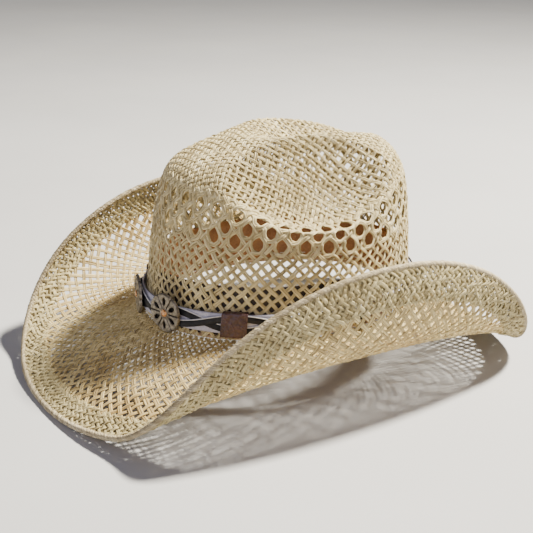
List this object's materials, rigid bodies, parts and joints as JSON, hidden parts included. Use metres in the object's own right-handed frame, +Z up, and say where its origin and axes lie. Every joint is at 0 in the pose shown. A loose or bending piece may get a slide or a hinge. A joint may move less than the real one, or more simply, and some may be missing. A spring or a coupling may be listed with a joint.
{
  "type": "cowboy hat",
  "caption": "Open-weave western straw hat with creased crown, rolled brim, sweatband and a loose laced hatband with flower conchos.",
  "frame": {"origin": "on the plane the hat rests on, at the middle of the hat's box, below the crown", "axes": "+Z up out of the crown, -Y to the hat's front, +X to the wearer's left; the hat's longest extent lies along Y"},
  "size_m": [0.2848, 0.371, 0.1813],
  "materials": {
    "straw_crown": "open woven natural straw, two to a strand",
    "straw_brim": "open woven natural straw",
    "straw_hem": "dense woven straw border, grey olive",
    "wire": "drawn steel shaping wire",
    "sweatband_leather": "smooth tan sweatband leather",
    "reed": "matt plastic reed",
    "thread": "waxed cotton thread",
    "pale_leather": "pearl grey leather",
    "black_leather": "black flat lace leather",
    "white_piping": "white edge piping",
    "antique_metal": "antique pewter plate, darkened in the recesses",
    "copper_stone": "mottled copper stone, polished",
    "screw_steel": "plated steel",
    "brown_leather": "grained dark brown leather",
    "dark_thread": "brown waxed thread"
  },
  "bodies": {
    "hat": {"crown": "straw_crown", "brim": "straw_brim", "brim_hem": "straw_hem", "brim_edge_roll": "straw_hem", "brim_wire": "wire", "sweatband": "sweatband_leather", "sweatband_reed": "reed", "sweatband_stitching": "thread", "sweatband_seam_tape": "sweatband_leather"},
    "hatband": {"band_strap": "pale_leather", "lace_a": "black_leather", "lace_b": "black_leather", "lace_piping_a": "white_piping", "lace_piping_b": "white_piping", "concho_left": "antique_metal", "concho_right": "antique_metal", "concho_stone_left": "copper_stone", "concho_stone_right": "copper_stone", "concho_screw_left": "screw_steel", "concho_screw_right": "screw_steel", "keeper_left_front": "brown_leather", "keeper_left_rear": "brown_leather", "keeper_right_rear": "brown_leather", "keeper_right_front": "brown_leather", "keeper_back": "brown_leather", "keeper_stitching": "dark_thread"}
  },
  "joints": [
    {"name": "hatband_lift", "type": "slide", "parent": "hat", "child": "hatband", "axis": [0, 0, 1], "range_m": [0, 0.16]}
  ]
}
